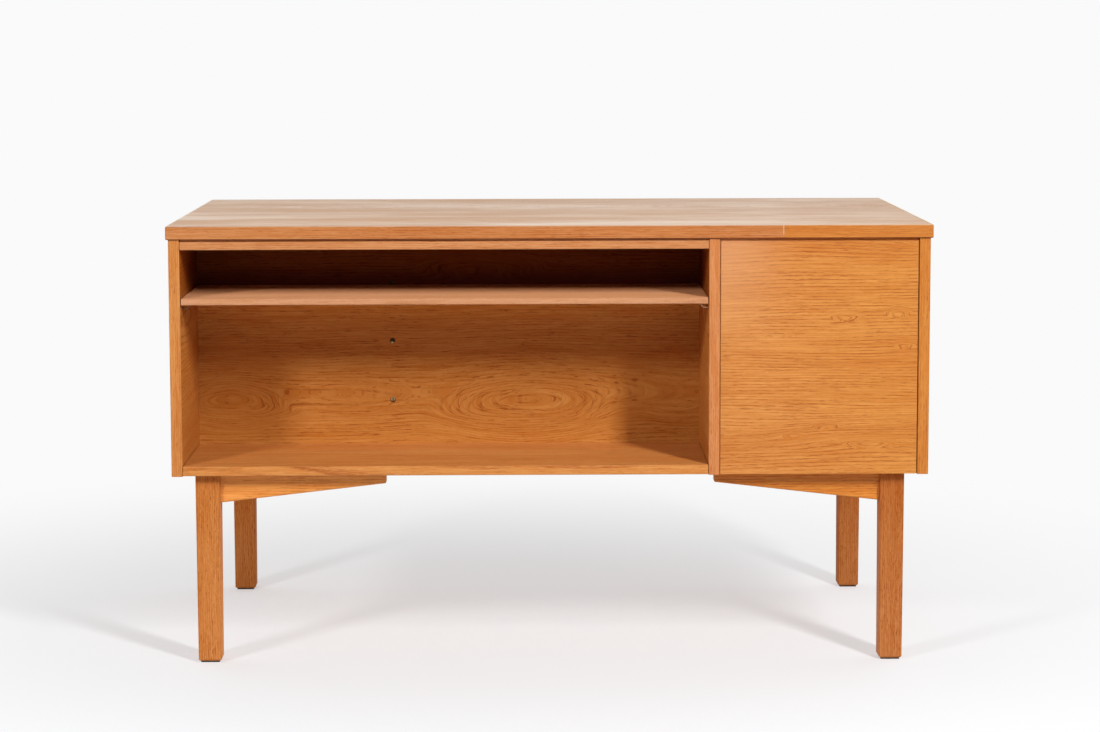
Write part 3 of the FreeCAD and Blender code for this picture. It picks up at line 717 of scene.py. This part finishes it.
def paint_drawers():
    drawers = [body for body in frame["bodies"] if body.endswith("_drawer")]
    for drawer in drawers:
        paint_oak(drawer + "_front", "XZY", "drawer_front", pith=(0.0, 0.10, -0.07), ring_width=0.005)
        for part, order in (("_side_left", "YZX"), ("_side_right", "YZX"), ("_back", "XZY")):
            paint_oak(drawer + part, order, "drawer_oak", pith=(0.0, 0.10, -0.06), fleck_share=0.3,
                      roughness=0.5)
        paint_oak(drawer + "_bottom", "XYZ", "plywood", pith=(0.0, 0.2, -0.2), ring_width=0.009,
                  ring_share=0.25, fleck_share=0.1, roughness=0.5)
    paint_oak("drawer_runners", "YZX", "beech", pith=(0.0, 0.1, -0.1), ring_share=0.2, fleck_share=0.15,
              roughness=0.45)
    paint_oak("case_dowels", "XZY", "beech", ring_share=0.2, fleck_share=0.15, roughness=0.5)


# Metal and plastic

fitting_bump = {"Strength": 0.2, "Distance": 0.0001}

metal_cloud_stretch = evenly(380.0)
metal_cloud_range = (0.38, 0.66)
metal_fine_stretch = evenly(2600.0)
metal_edge_radius = 0.0004
metal_edge_brightness = 0.4
metal_cloud_roughness = 0.2


def metal(name, colour, tarnish, roughness, extra=None):
    material, t = new_material(name)
    here = t.here()
    cloud = t.span(t.noise(here, metal_cloud_stretch, detail=3.0), *metal_cloud_range)
    fine = t.noise(here, metal_fine_stretch)
    soft, edge = edge_share(t, metal_edge_radius)
    shade = t.mix(cloud, rgba(colour), rgba(tarnish))
    shade = t.mix(t.times(edge, metal_edge_brightness), shade, rgba(colour))
    rough = t.math("MULTIPLY_ADD", cloud, metal_cloud_roughness, roughness)
    if extra:
        shade = extra(t, here, shade)
    finish_material(t, shade, rough, {"Height": fine, "Normal": soft, **fitting_bump}, {"Metallic": 1.0})
    return material


plastic_cloud_stretch = evenly(120.0)
plastic_cloud_range = (0.4, 0.7)
plastic_fine_stretch = evenly(900.0)
plastic_edge_radius = 0.0005
plastic_cloud_scuff = 0.5
plastic_edge_scuff = 0.6
plastic_cloud_roughness = 0.15
plastic_ior = 1.46


def plastic(name, colour, scuff, roughness):
    material, t = new_material(name)
    here = t.here()
    cloud = t.span(t.noise(here, plastic_cloud_stretch, detail=3.0), *plastic_cloud_range)
    fine = t.noise(here, plastic_fine_stretch)
    soft, edge = edge_share(t, plastic_edge_radius)
    scuffed = t.math("MAXIMUM", t.times(cloud, plastic_cloud_scuff), t.times(edge, plastic_edge_scuff))
    shade = t.mix(scuffed, rgba(colour), rgba(scuff))
    rough = t.math("MULTIPLY_ADD", cloud, plastic_cloud_roughness, roughness)
    finish_material(t, shade, rough, {"Height": fine, "Normal": soft, **fitting_bump}, {"IOR": plastic_ior})
    return material


# Painted shade darkens the shelf's left clips, and the right ones stay bright
left_clip_shade_share = (0.45, 0.40, 0.35, 1)


def shaded_on_the_left(t, here, shade):
    # Painted shade on the clips left of the middle
    return t.tinted(t.math("LESS_THAN", t.split(here)["X"], 0.0), shade, left_clip_shade_share)


# Old polish has blackened the slots of the back panel's screws; painted shade darkens the upper part of the
# middle head, as the shadow of its countersink, and the whole top head, which sits in the shaded upper
# compartment
slot_grime_depth = 0.0004
crescent_drop = 0.0012
polish_and_shade_black = (0.10, 0.08, 0.06, 1)


def polish_and_painted_shade(t, here, shade):
    split = t.split(here)
    lowest, middle = (screw_frame(points)[0] for points in solids_of("back_panel_screws")[:2])
    slot = t.span(split["Y"], lowest.y + slot_grime_depth, lowest.y + slot_grime_depth * 2)
    upper = t.span(split["Z"], middle.z - crescent_drop, middle.z - crescent_drop / 2)
    # Polish in the slots, and painted shade on the middle head's upper part and the top head
    return t.tinted(t.math("MAXIMUM", slot, upper), shade, polish_and_shade_black)


# Detailed fittings that stand for the plain ones

# The corner points of each separate solid of a node, in the order of the solids' middles
def solids_of(node):
    mesh = frame["nodes"][node].data
    group = {}

    def root(key):
        while group.setdefault(key, key) != key:
            key = group[key]
        return key

    keys = [tuple(round(value, 5) for value in vertex.co) for vertex in mesh.vertices]
    for edge in mesh.edges:
        first, second = (root(keys[index]) for index in edge.vertices)
        group[first] = second
    solids = {}
    for key in set(keys):
        solids.setdefault(root(key), []).append(Vector(key))
    return sorted(solids.values(), key=lambda points: tuple(points_middle(points)))


def points_middle(points):
    low = Vector(min(point[axis] for point in points) for axis in range(3))
    high = Vector(max(point[axis] for point in points) for axis in range(3))
    return (low + high) / 2


# The top of a screw's head, the way its shank points, the head's radius and the whole length
def screw_frame(points):
    middle = points_middle(points)
    spans = [max(p[axis] for p in points) - min(p[axis] for p in points) for axis in range(3)]
    axis = spans.index(max(spans))
    length = spans[axis]
    along = Vector((axis == 0, axis == 1, axis == 2))

    def off_axis(point):
        return (point - middle - along * (point - middle).dot(along)).length

    head = max(points, key=off_axis)
    side = 1 if (head - middle).dot(along) > 0 else -1
    return middle + along * side * length / 2, along * -side, off_axis(head), length


def lathe(profile, sides):
    """A closed solid turned about Z from (radius, height) points, the first and last on the axis."""
    mesh = bmesh.new()
    rings = []
    for radius, height in profile:
        if radius == 0:
            rings.append([mesh.verts.new((0, 0, height))])
            continue
        turns = [2 * math.pi * number / sides for number in range(sides)]
        rings.append([mesh.verts.new((radius * math.cos(a), radius * math.sin(a), height)) for a in turns])
    for upper, lower in zip(rings, rings[1:]):
        for number in range(sides):
            following = (number + 1) % sides
            corners = [upper[number % len(upper)], upper[following % len(upper)],
                       lower[following % len(lower)], lower[number % len(lower)]]
            mesh.faces.new(list(dict.fromkeys(corners)))
    bmesh.ops.recalc_face_normals(mesh, faces=mesh.faces)
    return mesh


def object_from(mesh, name):
    data = bpy.data.meshes.new(name)
    mesh.to_mesh(data)
    mesh.free()
    made = bpy.data.objects.new(name, data)
    bpy.context.scene.collection.objects.link(made)
    return made


def box_mesh(half_x, half_y, half_z):
    mesh = bmesh.new()
    bmesh.ops.create_cube(mesh, size=2)
    bmesh.ops.scale(mesh, verts=mesh.verts, vec=(half_x, half_y, half_z))
    return mesh


def applied(made):
    """The mesh of an object with its modifiers applied, and the object removed."""
    bpy.context.view_layer.update()
    data = bpy.data.meshes.new_from_object(made.evaluated_get(bpy.context.evaluated_depsgraph_get()))
    bpy.data.objects.remove(made)
    return data


def smooth_by_angle(made, degrees=35):
    limit = math.radians(degrees)
    mesh = bmesh.new()
    mesh.from_mesh(made.data)
    for face in mesh.faces:
        face.smooth = True
    for edge in mesh.edges:
        edge.smooth = len(edge.link_faces) == 2 and edge.calc_face_angle(0) < limit
    mesh.to_mesh(made.data)
    mesh.free()


# A slotted countersunk screw whose head's top is at the origin and whose shank points down -Z.
# crown_flat, crown_end, cone_end and slot_overrun are shares of the head's radius, and crown_flat_drop of
# the crown's height.
screw_sides = 32
rim_height = 0.0004
crown_height = 0.00035
crown_flat = 0.55
crown_flat_drop = 0.3
crown_end = 0.92
cone_end = 0.9
slot_half_width = 0.00055
slot_depth = 0.0011
slot_overrun = 1.2


def screw_mesh(radius, length, shank):
    profile = [
        (0, 0),
        (radius * crown_flat, -crown_height * crown_flat_drop),
        (radius * crown_end, -crown_height),
        (radius, -crown_height - rim_height),
        (shank, -radius * cone_end),
        (shank, -length + shank * 2),
        (0, -length),
    ]
    screw = object_from(lathe(profile, screw_sides), "screw_blank")
    slot = object_from(box_mesh(slot_half_width, radius * slot_overrun, slot_depth), "screw_slot")
    cut = screw.modifiers.new("slot", "BOOLEAN")
    cut.object = slot
    cut.operation = "DIFFERENCE"
    cut.solver = "EXACT"
    data = applied(screw)
    bpy.data.objects.remove(slot)
    return data


def add_screws(node, name, material, shank_share, turn_step):
    joined = bmesh.new()
    blank = None
    for number, points in enumerate(solids_of(node)):
        top, along, radius, length = screw_frame(points)
        blank = blank or screw_mesh(radius, length, radius * shank_share)
        turn = Matrix.Rotation(turn_step * number, 4, "Z")
        aim = along.to_track_quat("-Z", "Y").to_matrix().to_4x4()
        placed = blank.copy()
        placed.transform(Matrix.Translation(top) @ aim @ turn)
        joined.from_mesh(placed)
        bpy.data.meshes.remove(placed)
    screws = object_from(joined, name)
    screws.data.materials.append(material)
    smooth_by_angle(screws)
    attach(screws, "root")
    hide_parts(node)


def paint_and_add_fittings():
    bronze = metal("bronzed_clip", colour=(0.60, 0.33, 0.18), tarnish=(0.30, 0.16, 0.09), roughness=0.40,
                   extra=shaded_on_the_left)
    steel = metal("zinc_steel", colour=(0.50, 0.50, 0.50), tarnish=(0.28, 0.28, 0.29), roughness=0.36)
    brass = metal("aged_brass", colour=(0.44, 0.31, 0.14), tarnish=(0.20, 0.145, 0.08), roughness=0.42,
                  extra=polish_and_painted_shade)
    glide_plastic = plastic("dark_plastic", colour=(0.010, 0.008, 0.007), scuff=(0.035, 0.030, 0.026),
                            roughness=0.6)
    paint("shelf_supports", bronze)
    paint("leg_glides", glide_plastic)
    add_screws("back_panel_screws", "back_panel_slotted_screws", brass,
               shank_share=0.5, turn_step=0.9)
    add_screws("runner_screws", "runner_slotted_screws", steel,
               shank_share=0.5, turn_step=0.7)
    add_screws("underframe_screws", "underframe_slotted_screws", steel,
               shank_share=0.55, turn_step=0.8)


# Stage, lights and camera

def seen_directly(t):
    ray = t.add("ShaderNodeLightPath").outputs
    camera_or_gloss = t.math("MAXIMUM", ray["Is Camera Ray"], ray["Is Glossy Ray"])
    return t.math("MAXIMUM", camera_or_gloss, ray["Is Transmission Ray"])


# The floor lightens to the background's white with distance, and lights the desk only from near by
def add_floor():
    mesh = bmesh.new()
    bmesh.ops.create_circle(mesh, cap_ends=True, segments=floor_sides, radius=floor_radius)
    floor = object_from(mesh, "floor")
    material, t = new_material("studio_floor")
    away = t.distance(t.here(), floor_fade_middle)
    far = t.span(away, *floor_fade_range, floor_lift, 1.0)
    lifted = t.times(far, seen_directly(t))
    level = t.span(away, *floor_fade_range, floor_level, background_white)
    white = t.add("ShaderNodeEmission", {"Color": pure_white, "Strength": level})
    near = t.span(away, *floor_light_range, floor_white, 0.0)
    paper = t.add("ShaderNodeCombineColor", {0: near, 1: near, 2: near}).outputs[0]
    colour = t.mix(seen_directly(t), paper, rgba(floor_seen_white))
    matt = t.add("ShaderNodeBsdfDiffuse", {"Color": colour})
    both = t.add("ShaderNodeMixShader", {0: lifted, 1: matt.outputs[0], 2: white.outputs[0]})
    t.add("ShaderNodeOutputMaterial", {"Surface": both.outputs[0]})
    floor.data.materials.append(material)


# The room is white to look at, lights the desk from behind and above, and is dark in front
def add_room():
    world = bpy.data.worlds.new("white_room")
    world.use_nodes = True
    world.node_tree.nodes.clear()
    t = Tree(world.node_tree)
    split = t.split(t.add("ShaderNodeTexCoord").outputs["Generated"])
    behind = t.span(split["Y"], *backdrop_range, 0.0, backdrop_light)
    above = t.span(split["Z"], *overhead_range, 0.0, overhead_light)
    strength = t.math("MAXIMUM", behind, above)
    dim = t.add("ShaderNodeBackground", {"Color": pure_white, "Strength": strength})
    white = t.add("ShaderNodeBackground", {"Color": pure_white, "Strength": background_white})
    both = t.add("ShaderNodeMixShader", {0: seen_directly(t), 1: dim.outputs[0], 2: white.outputs[0]})
    t.add("ShaderNodeOutputWorld", {"Surface": both.outputs[0]})
    bpy.context.scene.world = world


def add_soft_box(name, place, aim, width, height, power):
    light = bpy.data.lights.new(name, "AREA")
    light.shape = "RECTANGLE"
    light.size = width
    light.size_y = height
    light.energy = power
    box = bpy.data.objects.new(name, light)
    box.location = place
    box.rotation_euler = (Vector(aim) - Vector(place)).to_track_quat("-Z", "Y").to_euler()
    bpy.context.scene.collection.objects.link(box)


def add_lights():
    middle = (cad_box[0] + cad_box[1]) / 2
    for name, (azimuth, elevation, width, height, power) in keys.items():
        turn = math.radians(azimuth)
        rise = math.radians(elevation)
        flat = key_distance * math.cos(rise)
        offset = Vector((flat * math.sin(turn), -flat * math.cos(turn), key_distance * math.sin(rise)))
        add_soft_box(name, middle + offset, middle, width, height, power)


def add_camera():
    data = bpy.data.cameras.new("photo_camera")
    data.sensor_width = sensor_width_mm
    data.lens = focal_length_px / photo_width_px * sensor_width_mm
    data.shift_y = -axis_above_middle_px / photo_width_px
    camera = bpy.data.objects.new("photo_camera", data)
    pan = Matrix.Rotation(camera_yaw, 4, "Z")
    tilt = Matrix.Rotation(-camera_tilt, 4, "X")
    roll = Matrix.Rotation(camera_roll, 4, "Y")
    level = Matrix.Rotation(math.pi / 2, 4, "X")
    camera.matrix_world = Matrix.Translation(camera_place) @ pan @ tilt @ roll @ level
    bpy.context.scene.collection.objects.link(camera)
    bpy.context.scene.camera = camera


paint_desktop()
paint_case()
paint_underframe()
paint_drawers()
paint_and_add_fittings()
add_floor()
add_room()
add_lights()
add_camera()
bpy.context.scene.view_settings.view_transform = "Standard"
